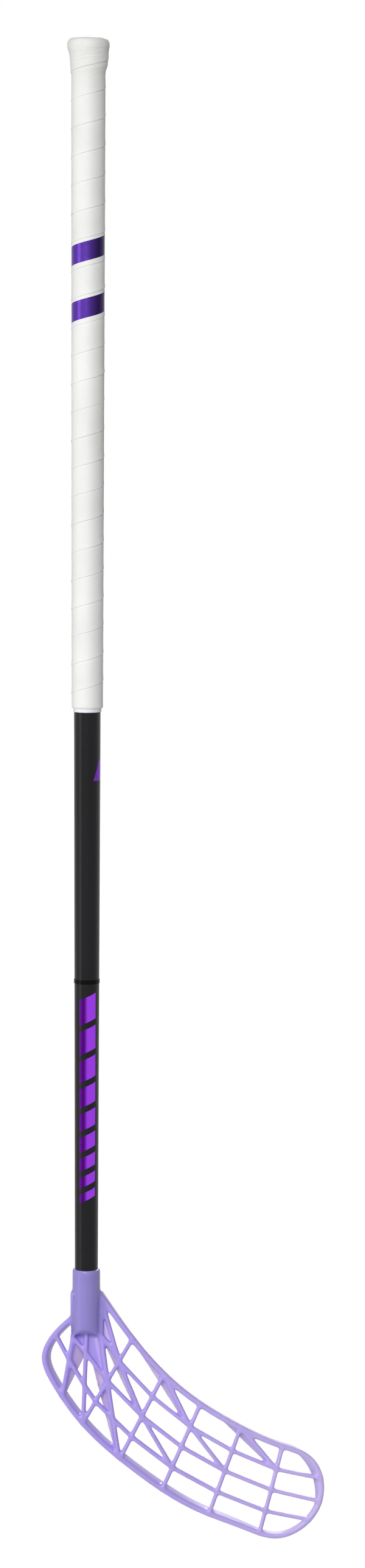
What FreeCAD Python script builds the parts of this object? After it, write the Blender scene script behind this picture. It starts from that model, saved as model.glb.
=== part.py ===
import FreeCAD, Part
import math
import os

import Sketcher
from FreeCAD import Vector

# Floorball stick in millimetres. The origin is the middle of the flat butt end, +Z points up along the
# shaft, the blade hangs below and points to +X, and its convex face looks towards -Y.

doc = FreeCAD.newDocument("floorball_stick")
sizes = doc.addObject("Spreadsheet::Sheet", "Sizes")

DIMENSIONS = {
    # Shaft: a tapered composite tube, measured along its axis from the butt
    "shaft_length": 1000.0,
    "shaft_butt_diameter": 22.7,
    "shaft_break_diameter": 20.7,
    "shaft_tip_diameter": 17.9,
    "shaft_break": 514.0,
    "shaft_wall": 1.5,
    # Butt cap: a plug in the tube with a flared knob outside it
    "cap_thickness": 4.5,
    "cap_flat_radius": 8.0,
    "cap_rim_radius": 11.0,
    "cap_crown": 0.8,
    "knob_radius": 14.4,
    "knob_drop": 7.0,
    "skirt_wall": 0.65,
    "skirt_length": 24.0,
    "plug_length": 30.0,
    "plug_bore": 12.0,
    "fit_clearance": 0.05,
    # Grip: one long strip of soft tape wound up the handle
    "grip_length": 513.0,
    "grip_thickness": 1.85,
    "tape_pitch": 21.6,
    "tape_seam": 0.6,
    "first_seam": 38.5,
    # Finishing tape round the lower end of the grip
    "finish_width": 16.0,
    "finish_show": 3.6,
    "finish_thickness": 0.6,
    # Glossy film ring round the middle of the shaft
    "ring_distance": 726.2,
    "ring_height": 3.1,
    "ring_thickness": 0.3,
    # Blade socket
    "socket_depth": 48.0,
    "socket_wall": 1.75,
    "socket_swell": 0.35,
    "socket_length": 76.0,
    "socket_clearance": 0.05,
    "scoop_start": 48.5,
    "scoop_slope": 42.0,
    "scoop_wall": 1.8,
    "scoop_rise": 17.0,
    # Blade moulding
    "blade_reach": 187.9,
    "blade_drop": 219.6,
    "blade_slope": 24.5,
    "bend_radius": 500.0,
    "bend_middle": 75.0,
    "bend_level": 70.0,
    "bend_front": 10.6,
    "rim_width": 4.5,
    "rim_depth": 12.0,
    "stem_top": 19.5,
    "stem_width": 3.0,
    "rib_width": 3.2,
    "rib_depth": 5.0,
    "rib_recess": 0.3,
    "rib_first_top": 44.3,
    "rib_pitch_top": 37.3,
    "rib_first_low": 105.2,
    "rib_pitch_low": 40.4,
    "rib_pitch_gain": 0.5,
    "brace_step": 1.5,
    "heel_brace_lead": 27.0,
    "heel_rib_lead": 20.4,
    "web_width": 1.7,
    "web_depth": 11.5,
    "panel_thickness": 1.8,
    "lip_radius": 1.2,
    # Blade screw at the back of the socket
    "screw_drop": 24.0,
    "screw_diameter": 3.5,
    "screw_length": 11.0,
    "screw_head_diameter": 7.0,
    "screw_head_height": 2.2,
    "screw_clearance": 0.1,
    "slot_width": 1.0,
    "slot_depth": 1.1,
    "boss_diameter": 10.0,
    "boss_height": 1.6,
}

for row, (alias, value) in enumerate(DIMENSIONS.items(), start=1):
    sizes.set(f"A{row}", alias)
    sizes.set(f"B{row}", str(value))
    sizes.setAlias(f"B{row}", alias)
doc.recompute()


def size(alias):
    """The present value of a named size."""
    return float(getattr(sizes, alias))


def number(expression):
    """The present value of an expression on the sheet."""
    return float(sizes.evalExpression(expression.replace("Sizes.", "")))


def plane_of(body, role):
    """One of the body's own origin planes."""
    return next(feature for feature in body.Origin.OriginFeatures if feature.Role == role)


def outline_sketch(body, name, role, corners):
    """A closed outline of straight sides. Each corner is a pair of expressions on the sheet."""
    sketch = body.newObject("Sketcher::SketchObject", name)
    sketch.AttachmentSupport = (plane_of(body, role), [""])
    sketch.MapMode = "FlatFace"
    places = [Vector(number(across), number(along), 0) for across, along in corners]
    for index, place in enumerate(places):
        sketch.addGeometry(Part.LineSegment(place, places[(index + 1) % len(places)]), False)
    for index, (across, along) in enumerate(corners):
        following = (index + 1) % len(corners)
        sketch.addConstraint(Sketcher.Constraint("Coincident", index, 2, following, 1))
        for kind, expression, place in (
            ("DistanceX", across, places[index].x),
            ("DistanceY", along, places[index].y),
        ):
            held = sketch.addConstraint(Sketcher.Constraint(kind, index, 1, place))
            sketch.setExpression(f"Constraints[{held}]", expression)
    return sketch


def turned_body(label, corners):
    """A body of revolution about the stick's axis, from its half section (radius, height)."""
    body = doc.addObject("PartDesign::Body", label)
    profile = outline_sketch(body, f"{label}_section", "XZ_Plane", corners)
    turning = body.newObject("PartDesign::Revolution", f"{label}_turning")
    turning.Profile = profile
    turning.ReferenceAxis = (profile, ["V_Axis"])
    turning.Angle = 360
    body.Tip = turning
    doc.recompute()
    return body


# Expressions that several pieces share, so that what fits together changes together
SHAFT_TOP = "Sizes.cap_thickness"
SHAFT_END = f"({SHAFT_TOP} + Sizes.shaft_length)"
MOUTH = f"({SHAFT_END} - Sizes.socket_depth)"
GRIP_END = "Sizes.grip_length"
BREAK_DEPTH = f"({SHAFT_TOP} + Sizes.shaft_break)"
# The seam's lowest end, whole turns below its first crossing of the +X side and clear of the grip's end
SEAM_TURNS = f"(ceil(({GRIP_END} - Sizes.first_seam) / Sizes.tape_pitch) + 1)"
SEAM_START = f"(Sizes.first_seam + {SEAM_TURNS} * Sizes.tape_pitch)"
SCREW_DEPTH = f"({MOUTH} + Sizes.screw_drop)"
SCREW_HOLE = "(Sizes.screw_diameter / 2 + Sizes.screw_clearance)"


def upper_shaft_radius(depth):
    """Expression for the tube's outer radius at a depth below the butt, above the taper's break."""
    fall = "(Sizes.shaft_butt_diameter - Sizes.shaft_break_diameter)"
    return f"((Sizes.shaft_butt_diameter - {fall} * ({depth} - {SHAFT_TOP}) / Sizes.shaft_break) / 2)"


def lower_shaft_radius(depth):
    """Expression for the tube's outer radius at a depth below the butt, below the taper's break."""
    fall = "(Sizes.shaft_break_diameter - Sizes.shaft_tip_diameter)"
    run = "(Sizes.shaft_length - Sizes.shaft_break)"
    return f"((Sizes.shaft_break_diameter - {fall} * ({depth} - {BREAK_DEPTH}) / {run}) / 2)"


def side_hole(body, name, depth, radius, reach):
    """A round hole from the axis out of the back of a turned body, at a depth below the butt."""
    sketch = body.newObject("Sketcher::SketchObject", f"{name}_sketch")
    sketch.AttachmentSupport = (plane_of(body, "XZ_Plane"), [""])
    sketch.MapMode = "FlatFace"
    middle = Vector(0, -number(depth), 0)
    sketch.addGeometry(Part.Circle(middle, Vector(0, 0, 1), number(radius)), False)
    sketch.addConstraint(Sketcher.Constraint("PointOnObject", 0, 3, -2))
    drop = sketch.addConstraint(Sketcher.Constraint("DistanceY", 0, 3, middle.y))
    sketch.setExpression(f"Constraints[{drop}]", f"-{depth}")
    round_size = sketch.addConstraint(Sketcher.Constraint("Radius", 0, number(radius)))
    sketch.setExpression(f"Constraints[{round_size}]", radius)
    doc.recompute()
    before = body.Shape.Volume
    hole = body.newObject("PartDesign::Pocket", name)
    hole.Profile = sketch
    hole.setExpression("Length", reach)
    hole.Reversed = False
    body.Tip = hole
    doc.recompute()
    drilled = body.Shape.Solids[0]
    if not (drilled.Volume < before and drilled.CenterOfMass.y < 0):
        raise RuntimeError(f"{name} does not open the back of {body.Label}")


def make_shaft():
    """Tapered tube, open at both ends, with the hole that the blade screw bites into."""
    wall = "Sizes.shaft_wall"
    top, middle, tip = f"-{SHAFT_TOP}", f"-{BREAK_DEPTH}", f"-{SHAFT_END}"
    radii = [f"Sizes.shaft_{place}_diameter / 2" for place in ("butt", "break", "tip")]
    shaft = turned_body("shaft", [
        (f"{radii[0]} - {wall}", top),
        (radii[0], top),
        (radii[1], middle),
        (radii[2], tip),
        (f"{radii[2]} - {wall}", tip),
        (f"{radii[1]} - {wall}", middle),
    ])
    side_hole(shaft, "shaft_screw_hole", SCREW_DEPTH, SCREW_HOLE, "Sizes.shaft_break_diameter")
    return shaft


# The knob's flare, from its widest place to the end of the cap's skirt: share of the way down, and share
# of the knob's extra radius that is left there
FLARE = ((0.2, 0.82), (0.4, 0.52), (0.7, 0.3))


def flare_point(share_down, share_out, extra="0"):
    """Expressions for a point on the cap's flare, moved out by extra."""
    foot = f"({upper_shaft_radius('Sizes.skirt_length')} + Sizes.skirt_wall)"
    radius = f"{foot} + (Sizes.knob_radius - {foot}) * {share_out} + {extra}"
    depth = f"(Sizes.knob_drop + (Sizes.skirt_length - Sizes.knob_drop) * {share_down})"
    return radius, f"-{depth}"


def make_butt_cap():
    """Domed knob with a flat middle, a skirt over the tube and a hollow plug inside it."""
    fit = "Sizes.fit_clearance"
    skirt = "Sizes.skirt_length"
    step = "(Sizes.cap_crown + Sizes.grip_thickness)"
    plug_end = f"({SHAFT_TOP} + Sizes.plug_length)"
    bore_top = f"({SHAFT_TOP} + Sizes.shaft_wall)"
    # The plug follows the tube's taper
    plug_top_radius = f"({upper_shaft_radius(SHAFT_TOP)} - Sizes.shaft_wall - {fit})"
    plug_end_radius = f"({upper_shaft_radius(plug_end)} - Sizes.shaft_wall - {fit})"
    return turned_body("butt_cap", [
        ("0", "0"),
        ("Sizes.cap_flat_radius", "0"),
        ("Sizes.cap_rim_radius", "-Sizes.cap_crown"),
        ("Sizes.cap_rim_radius", f"-{step}"),
        ("Sizes.knob_radius", "-Sizes.knob_drop"),
        *[flare_point(*share) for share in FLARE],
        (f"{upper_shaft_radius(skirt)} + Sizes.skirt_wall", f"-{skirt}"),
        (f"{upper_shaft_radius(skirt)} + {fit}", f"-{skirt}"),
        (f"{upper_shaft_radius(SHAFT_TOP)} + {fit}", f"-{SHAFT_TOP}"),
        (plug_top_radius, f"-{SHAFT_TOP}"),
        (plug_end_radius, f"-{plug_end}"),
        ("Sizes.plug_bore / 2", f"-{plug_end}"),
        ("Sizes.plug_bore / 2", f"-{bore_top}"),
        ("0", f"-{bore_top}"),
    ])


def make_grip():
    """One strip of tape, wound from the finishing tape up over the knob as an unbroken helix."""
    fit = "Sizes.fit_clearance"
    thick = f"(Sizes.grip_thickness + {fit})"
    skirt = "Sizes.skirt_length"
    below_skirt = f"({skirt} + Sizes.grip_thickness)"
    finish_top = f"({GRIP_END} + Sizes.finish_show - Sizes.finish_width)"
    step = "(Sizes.cap_crown + Sizes.grip_thickness)"
    finish = f"(Sizes.finish_thickness + 2 * {fit})"
    grip = turned_body("grip_tape", [
        (f"Sizes.cap_rim_radius + {fit}", "-Sizes.cap_crown"),
        (f"Sizes.knob_radius + {fit}", "-Sizes.cap_crown - Sizes.grip_thickness"),
        (f"Sizes.knob_radius + {thick}", "-Sizes.knob_drop"),
        *[flare_point(*share, extra=thick) for share in FLARE],
        (f"{upper_shaft_radius(skirt)} + Sizes.skirt_wall + {thick}", f"-{skirt}"),
        (f"{upper_shaft_radius(below_skirt)} + {thick}", f"-{below_skirt}"),
        (f"{upper_shaft_radius(GRIP_END)} + {thick}", f"-{GRIP_END}"),
        (f"{upper_shaft_radius(GRIP_END)} + {finish}", f"-{GRIP_END}"),
        (f"{upper_shaft_radius(finish_top)} + {finish}", f"-({finish_top} - {fit})"),
        (f"{upper_shaft_radius(finish_top)} + {fit}", f"-({finish_top} - {fit})"),
        (f"{upper_shaft_radius(skirt)} + {fit}", f"-({skirt} + {fit})"),
        (f"{upper_shaft_radius(skirt)} + Sizes.skirt_wall + {fit}", f"-({skirt} + {fit})"),
        *[flare_point(*share, extra=fit) for share in reversed(FLARE)],
        (f"Sizes.knob_radius + {fit}", "-Sizes.knob_drop"),
        (f"Sizes.cap_rim_radius + {fit}", f"-({step} - {fit})"),
    ])
    # The seam between neighbouring turns is cut right through, so the strip is what is left
    inside, outside = "Sizes.plug_bore / 2", "Sizes.knob_radius + 2 * Sizes.grip_thickness"
    low, high = f"-{SEAM_START}", f"-{SEAM_START} + Sizes.tape_seam"
    cutter = outline_sketch(grip, "seam_section", "XZ_Plane", [
        (inside, low),
        (outside, low),
        (outside, high),
        (inside, high),
    ])
    seam = grip.newObject("PartDesign::SubtractiveHelix", "seam")
    seam.Profile = cutter
    seam.ReferenceAxis = (cutter, ["V_Axis"])
    seam.Mode = "pitch-height-angle"
    seam.Angle = 0
    seam.LeftHanded = False
    seam.Reversed = False
    seam.setExpression("Pitch", "Sizes.tape_pitch")
    seam.setExpression("Height", f"{SEAM_START} + Sizes.tape_pitch")
    grip.Tip = seam
    doc.recompute()
    print("least gap between turns of the tape: %.2f mm" % least_turn_gap(grip.Shape))
    return grip


def least_turn_gap(strip):
    """The least gap between neighbouring turns, from the strip's own points on both sides of the seam."""
    pitch = size("tape_pitch")
    middle = -number(SEAM_START) + size("tape_seam") / 2
    above, below = pitch, pitch
    for point in strip.tessellate(size("tape_seam") / 5)[0]:
        turn = math.atan2(point.y, point.x) / (2 * math.pi)
        offset = (point.z - middle - turn * pitch + pitch / 2) % pitch - pitch / 2
        if offset > 0:
            above = min(above, offset)
        else:
            below = min(below, -offset)
    lead = math.atan(pitch / (2 * math.pi * number(upper_shaft_radius(GRIP_END))))
    return (above + below) * math.cos(lead)


def make_finishing_tape():
    """Thin adhesive tape round the shaft, half under the end of the grip."""
    fit = "Sizes.fit_clearance"
    low = f"({GRIP_END} + Sizes.finish_show)"
    top = f"({low} - Sizes.finish_width)"
    thick = f"(Sizes.finish_thickness + {fit})"
    return turned_body("finishing_tape", [
        (f"{upper_shaft_radius(top)} + {fit}", f"-{top}"),
        (f"{upper_shaft_radius(top)} + {thick}", f"-{top}"),
        (f"{upper_shaft_radius(low)} + {thick}", f"-{low}"),
        (f"{upper_shaft_radius(low)} + {fit}", f"-{low}"),
    ])


def make_shaft_ring():
    """Thin film ring stuck round the lower shaft."""
    fit = "Sizes.fit_clearance"
    top = "Sizes.ring_distance"
    low = f"({top} + Sizes.ring_height)"
    thick = f"(Sizes.ring_thickness + {fit})"
    return turned_body("shaft_ring", [
        (f"{lower_shaft_radius(top)} + {fit}", f"-{top}"),
        (f"{lower_shaft_radius(top)} + {thick}", f"-{top}"),
        (f"{lower_shaft_radius(low)} + {thick}", f"-{low}"),
        (f"{lower_shaft_radius(low)} + {fit}", f"-{low}"),
    ])


# Blade plan, drawn as the convex face shows it: x from the shaft's axis, drop below the socket's mouth.
# The rim's outer edge is one smooth curve through these shares of the blade's reach and drop.
HEEL_EDGE = ((-0.0655, 0.171), (-0.145, 0.240), (-0.190, 0.327), (-0.148, 0.424))
LOWER_EDGE = ((-0.016, 0.575), (0.200, 0.737), (0.444, 0.876), (0.673, 0.963))
TOE_EDGE = ((0.809, 1.0), (0.935, 0.957), (1.010, 0.824), (0.963, 0.701))
UPPER_EDGE = ((0.821, 0.637), (0.653, 0.566), (0.419, 0.434), (0.225, 0.266), (0.062, 0.082))
# Where the ribs cross a cross rib, and where they end round the toe, as shares of the way from the top
RIB_SHARES = (0.264, 0.501, 0.746)
TOE_SHARES = (0.356, 0.51, 0.648)
# Crossings at the heel: name, the two points that they lie between, and the share of the way
HEEL_CROSSINGS = (
    ("H1", "left_foot", "brace_low_1", 0.385),
    ("H2", "middle_foot", "A4", 0.6),
    ("H3", "middle_foot", "A4", 0.25),
    ("K", "gusset_foot", "A1", 0.82),
)
# Places that the rim's inner edge is drawn through
RIM_STEPS = 60
# Chains of ribs, by the names of the points that they pass through
CROSS_RIBS = tuple(tuple(f"{name}{index}" for index in range(5)) for name in "ABCDE")
LONG_RIBS = (
    ("right_foot", "K", "A1", "B1", "C1", "D1", "E1", "T1"),
    ("left_foot", "H3", "A2", "B2", "C2", "D2", "E2", "T2"),
    ("heel", "H1", "H2", "A3", "B3", "C3", "D3", "E3", "T3"),
)
BRACES = (
    ("left_foot", "H1", "brace_low_1"),
    ("middle_foot", "H3", "H2", "A4"),
    ("stem_right", "right_foot", "A2", "brace_low_3"),
    ("gusset_foot", "K", "A1", "B2", "C3"),
    ("brace_top_6", "C1", "D2"),
    ("brace_top_8", "E1"),
)
# Deep webs behind the braces: front start and end, then how far along and across the plan the back edge
# lies from them at each end, as the face shows it, and the depth of the back edge at each end
WEBS = (
    ("left_foot", "brace_low_1", (7.7, -14.5), (1.8, 2.6), "web_depth", "rib_depth"),
    ("right_foot", "A2", (-12.4, -8.3), (-8.4, -5.4), "web_depth", "web_depth"),
    ("A2", "brace_low_3", (-8.4, -5.4), (-2.0, 0.7), "web_depth", "rib_depth"),
    ("right_foot", "A1", (2.2, -7.1), (-4.3, -3.5), "web_depth", "web_depth"),
    ("A1", "B2", (-4.3, -3.5), (-2.5, 1.0), "web_depth", "rib_depth"),
    ("brace_top_6", "C1", (-21.8, 22.3), (-2.5, 1.0), "web_depth", "rib_depth"),
    ("brace_top_8", "E1", (-14.7, 6.2), (-5.5, 1.0), "web_depth", "rib_depth"),
)


class Blade:
    """Points, curves and solids of the blade moulding at the sheet's present sizes."""

    def __init__(self):
        self.mouth = -number(MOUTH)
        self.socket_radius = number(lower_shaft_radius(MOUTH)) + size("socket_clearance") + size("socket_wall")
        self.slope = math.radians(size("blade_slope"))
        self.along = Vector(math.cos(self.slope), 0, -math.sin(self.slope))
        self.across = Vector(math.sin(self.slope), 0, math.cos(self.slope))
        self.edge = self.rim_edge()
        self.plan = self.plan_face()
        self.nodes = self.rib_nodes()

    def at(self, x, drop):
        """A point of the plan."""
        return Vector(x, 0, self.mouth - drop)

    def share(self, x, drop):
        """A point of the plan from shares of the blade's reach and drop."""
        return self.at(x * size("blade_reach"), drop * size("blade_drop"))

    def rim_edge(self):
        """The rim's outer edge, from the socket's left side round heel and toe to its right side."""
        shares = HEEL_EDGE + LOWER_EDGE + TOE_EDGE + UPPER_EDGE
        curve = Part.BSplineCurve()
        curve.interpolate([self.share(*pair) for pair in shares])
        return curve.toShape()

    def plan_face(self):
        """The blade's plan, closed inside the socket."""
        start, finish = self.edge.firstVertex().Point, self.edge.lastVertex().Point
        closing = Part.makePolygon([finish, self.at(0, size("screw_drop")), start])
        return Part.Face(Part.Wire([self.edge, *closing.Edges]))

    def inside_edge(self, length, inset):
        """The point at a length along the rim's outer edge, moved inward."""
        parameter = self.edge.getParameterByLength(length)
        return self.edge.valueAt(parameter) + self.edge.tangentAt(parameter).cross(Vector(0, 1, 0)) * inset

    def on_rim(self, length):
        """The point of the rim's middle line at a length along the outer edge."""
        return self.inside_edge(length, size("rim_width") / 2)

    def rib_nodes(self):
        """Named points where ribs meet: cross ribs A to E with three crossings each, and the heel's points."""
        whole = self.edge.Length
        tops = [whole - size("rib_first_top") - k * size("rib_pitch_top") for k in range(5)]
        lows = [
            size("rib_first_low") + k * (size("rib_pitch_low") + k * size("rib_pitch_gain"))
            for k in range(5)
        ]
        nodes = {}
        for name, top_length, low_length in zip("ABCDE", tops, lows):
            top, low = self.on_rim(top_length), self.on_rim(low_length)
            for index, share in enumerate((0,) + RIB_SHARES + (1,)):
                nodes[f"{name}{index}"] = mix(top, low, share)
        for index, share in enumerate(TOE_SHARES, start=1):
            nodes[f"T{index}"] = self.on_rim(tops[4] + (lows[4] - tops[4]) * share)
        nodes["brace_top_6"] = self.on_rim(tops[1] - size("brace_step"))
        nodes["brace_top_8"] = self.on_rim(tops[3] - size("brace_step"))
        nodes["brace_low_1"] = self.on_rim(lows[0] - size("heel_brace_lead"))
        nodes["brace_low_3"] = self.on_rim(lows[1] - size("brace_step"))
        radius, scoop = self.socket_radius, size("scoop_start")
        wide, deep = size("rib_width"), size("rib_depth")
        nodes["stem_right"] = self.at(radius + wide / 3, size("stem_top") + deep)
        nodes["left_foot"] = self.at(-radius, scoop + 2 * wide)
        nodes["middle_foot"] = self.at(0, scoop)
        nodes["right_foot"] = self.at(radius + wide / 2, scoop + deep)
        nodes["gusset_foot"] = self.at(radius + wide * 0.9, scoop - 3.5 * deep)
        nodes["heel"] = self.on_rim(size("heel_rib_lead"))
        for name, start, end, share in HEEL_CROSSINGS:
            nodes[name] = mix(nodes[start], nodes[end], share)
        return nodes

    def front(self, place):
        """How far towards +Y the moulding's front face lies at a point of the plan."""
        radius = size("bend_radius")
        run = (place - self.at(0, size("bend_level"))).dot(self.along) - size("bend_middle")
        return radius - size("bend_front") - math.sqrt(radius ** 2 - run ** 2)

    def layer(self, recess, depth):
        """A curved slab that follows the moulding's bend, from a recess behind its front face."""
        outer = size("bend_radius") - recess
        length = 3 * size("blade_drop")
        middle = self.at(0, size("bend_level")) + self.along * size("bend_middle")
        middle.y = size("bend_radius") - size("bend_front")
        foot = middle - self.across * (length / 2)
        return Part.makeCylinder(outer, length, foot, self.across).cut(
            Part.makeCylinder(outer - depth, length, foot, self.across)
        )

    def prism(self, outline):
        """A plan face drawn out through the moulding's whole thickness."""
        reach = size("bend_radius") / 2
        return outline.translated(Vector(0, -reach / 2, 0)).extrude(Vector(0, reach, 0))

    def strip(self, start, end, width):
        """A straight strip of the plan."""
        side = (end - start).cross(Vector(0, 1, 0)).normalize() * (width / 2)
        corners = [start + side, end + side, end - side, start - side]
        return Part.Face(Part.makePolygon(corners + corners[:1]))

    def inner_edge(self):
        """The rim's inner edge, a smooth curve at the rim's width inside its outer edge."""
        places = [
            self.inside_edge(self.edge.Length * step / RIM_STEPS, size("rim_width"))
            for step in range(RIM_STEPS + 1)
        ]
        curve = Part.BSplineCurve()
        curve.interpolate(places)
        return curve.toShape()

    def rim(self):
        """The rim all round the blade, and the stem that carries it up the socket's left side."""
        inner = self.inner_edge()
        heel_end = Part.makeLine(self.edge.firstVertex().Point, inner.firstVertex().Point)
        neck_end = Part.makeLine(self.edge.lastVertex().Point, inner.lastVertex().Point)
        band = Part.Face(Part.Wire([self.edge, neck_end, inner, heel_end]))
        stem = self.strip(
            self.at(-self.socket_radius, size("stem_top")),
            self.nodes["left_foot"],
            size("stem_width"),
        )
        layer = self.layer(0, size("rim_depth"))
        return self.prism(band).common(layer).fuse(self.prism(stem).common(layer))

    def ribs(self):
        """All ribs and braces on the front of the moulding."""
        strips = []
        for chain in CROSS_RIBS + LONG_RIBS + BRACES:
            for start, end in zip(chain, chain[1:]):
                strips.append(self.strip(self.nodes[start], self.nodes[end], size("rib_width")))
        prisms = [self.prism(strip) for strip in strips]
        lattice = prisms[0].multiFuse(prisms[1:])
        return lattice.common(self.layer(size("rib_recess"), size("rib_depth")))

    def web(self, start, end, start_shift, end_shift, start_depth, end_depth):
        """A twisted web from a brace on the front to a back edge that lies aside of it."""
        start, end = self.nodes[start], self.nodes[end]
        side = (end - start).cross(Vector(0, 1, 0)).normalize() * (size("web_width") / 2)
        rings = []
        for place, shift, depth in (
            (start, start_shift, size(start_depth)),
            (end, end_shift, size(end_depth)),
        ):
            behind = place + Vector(shift[0], 0, shift[1])
            near = place + Vector(0, self.front(place) + 2 * size("rib_recess"), 0)
            far = behind + Vector(0, self.front(behind) + depth, 0)
            rings.append([near + side, far + side, far - side, near - side])
        faces = [Part.Face(Part.makePolygon(ring + ring[:1])) for ring in rings]
        for corner in range(4):
            edges = [Part.makeLine(ring[corner - 1], ring[corner]) for ring in rings]
            faces.append(Part.makeRuledSurface(*edges))
        shell = Part.makeShell(faces)
        shell.sewShape()
        return Part.makeSolid(shell)

    def panels(self):
        """Thin closed panels beside and below the socket."""
        names = self.nodes
        socket_side = self.at(self.socket_radius / 2, size("screw_drop"))
        # The two panels lap over each other under the right foot
        lap = mix(names["middle_foot"], names["right_foot"], 1.15)
        scoop_end = mix(names["A2"], names["right_foot"], 0.2)
        outlines = (
            [socket_side, names["gusset_foot"], names["K"], names["right_foot"]],
            [names["middle_foot"], lap, scoop_end, names["H3"]],
        )
        layer = self.layer(size("rib_depth") - size("panel_thickness") / 2, size("panel_thickness"))
        faces = [Part.Face(Part.makePolygon(corners + corners[:1])) for corners in outlines]
        return [self.prism(face).common(layer) for face in faces]

    def socket(self):
        """The tube that the shaft's end sits in, cut away at the front into a scoop."""
        top = Vector(0, 0, self.mouth)
        low = self.socket_radius + size("socket_swell")
        length = size("socket_length")
        tube = Part.makeCone(self.socket_radius, low, length, top, Vector(0, 0, -1))
        lip = [edge for edge in tube.Edges if edge.BoundBox.ZMin > self.mouth - 1 and edge.Closed]
        tube = tube.makeFillet(size("lip_radius"), lip)
        fall = math.tan(math.radians(size("scoop_slope")))
        start = self.mouth - size("scoop_start")
        span = 2 * low
        section = Part.makePolygon([
            Vector(-span, -span, start + (span - low) * fall),
            Vector(-span, span, start - (span + low) * fall),
            Vector(-span, -span, start - (span + low) * fall),
            Vector(-span, -span, start + (span - low) * fall),
        ])
        return tube.cut(Part.Face(section).extrude(Vector(2 * span, 0, 0))).cut(self.half_pipe())

    def half_pipe(self):
        """The round hollow under the scoop's arch, which leaves the tube's back wall standing."""
        radius = self.socket_radius - size("scoop_wall")
        start, end = size("scoop_start") + size("scoop_wall"), 2 * size("socket_length")
        rise = math.tan(math.radians(size("scoop_rise")))
        pipe = Part.makeCylinder(radius, end - start, Vector(0, 0, self.mouth - start), Vector(0, 0, -1))
        front, back = -self.socket_radius, self.socket_radius
        roof = Part.makePolygon([
            Vector(front, front, self.mouth - start),
            Vector(front, back, self.mouth - start - (back - front) * rise),
            Vector(front, back, self.mouth - start),
            Vector(front, front, self.mouth - start),
        ])
        return pipe.cut(Part.Face(roof).extrude(Vector(back - front, 0, 0)))

    def boss(self):
        """The pad for the screw's head at the back of the socket."""
        centre = Vector(0, 0, -number(SCREW_DEPTH))
        return Part.makeCylinder(size("boss_diameter") / 2, number(SCREW_SEAT), centre, Vector(0, 1, 0))

    def bores(self):
        """The shaft's bore, with the tube's own taper, and the screw's hole."""
        room = size("socket_clearance")
        mouth_radius = number(lower_shaft_radius(MOUTH)) + room
        tip_radius = number(lower_shaft_radius(SHAFT_END)) + room
        depth = size("socket_depth")
        shaft_bore = Part.makeCone(mouth_radius, tip_radius, depth, Vector(0, 0, self.mouth), Vector(0, 0, -1))
        centre = Vector(0, 0, -number(SCREW_DEPTH))
        reach = 2 * number(SCREW_SEAT)
        return shaft_bore.fuse(Part.makeCylinder(number(SCREW_HOLE), reach, centre, Vector(0, 1, 0)))

    def solid(self):
        """The whole moulding as one solid."""
        webs = [self.web(*web) for web in WEBS]
        lattice = self.ribs().multiFuse(webs + self.panels()).common(self.prism(self.plan))
        moulding = self.socket().multiFuse([self.rim(), lattice, self.boss()])
        return moulding.cut(self.bores()).removeSplitter()


def mix(start, end, share):
    """The point at a share of the way between two points."""
    return start + (end - start) * share


SCREW_SEAT = f"({lower_shaft_radius(MOUTH)} + Sizes.socket_clearance + Sizes.socket_wall + Sizes.boss_height)"


def make_blade():
    """The moulded blade with its socket."""
    plan = Blade()
    feature = doc.addObject("Part::Feature", "blade")
    feature.Shape = plan.solid()
    return feature


def make_blade_screw():
    """Self-tapping screw with a cross recess, driven in from the back of the socket."""
    head, head_radius = "Sizes.screw_head_height", "Sizes.screw_head_diameter / 2"
    shank = "Sizes.screw_diameter / 2"
    screw = turned_body("blade_screw", [
        ("0", head),
        (f"{head_radius} - {head} / 2", head),
        (head_radius, f"{head} / 2"),
        (head_radius, "0"),
        (shank, "0"),
        (shank, "-Sizes.screw_length + Sizes.screw_diameter / 2"),
        ("0", "-Sizes.screw_length"),
    ])
    half, arm = "Sizes.slot_width / 2", "Sizes.screw_head_diameter / 4"
    quarter = [
        (half, half),
        (half, arm),
        (f"-{half}", arm),
        (f"-{half}", half),
        (f"-{arm}", half),
        (f"-{arm}", f"-{half}"),
    ]
    outline = quarter + [turned_half(*corner) for corner in quarter]
    cross = outline_sketch(screw, "recess_outline", "XY_Plane", outline)
    cross.setExpression("AttachmentOffset.Base.z", head)
    recess = screw.newObject("PartDesign::Pocket", "recess")
    recess.Profile = cross
    recess.setExpression("Length", "Sizes.slot_depth")
    screw.Tip = recess
    screw.Placement = FreeCAD.Placement(Vector(), FreeCAD.Rotation(Vector(1, 0, 0), -90))
    screw.setExpression("Placement.Base.y", SCREW_SEAT)
    screw.setExpression("Placement.Base.z", f"-{SCREW_DEPTH}")
    doc.recompute()
    return screw


def turned_half(across, along):
    """Expressions for a point turned by half a circle."""
    return f"-({across})", f"-({along})"


parts = [
    make_shaft(),
    make_butt_cap(),
    make_grip(),
    make_finishing_tape(),
    make_shaft_ring(),
    make_blade(),
    make_blade_screw(),
]

# Build checks and export
doc.recompute()
for item in doc.Objects:
    if "Invalid" in item.State or "Error" in item.State:
        raise RuntimeError(f"{item.Name} failed: {item.State}")
os.makedirs("parts", exist_ok=True)
for part in parts:
    shape = part.Shape
    if shape.isNull() or not shape.isValid():
        raise RuntimeError(f"{part.Label} has no valid shape")
    print(part.Label, "solids", len(shape.Solids), "volume %.1f" % shape.Volume)
    shape.exportStep(f"parts/{part.Label}.step")
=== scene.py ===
import math

import bmesh
import bpy
import numpy as np
from mathutils import Matrix, Vector


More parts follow.
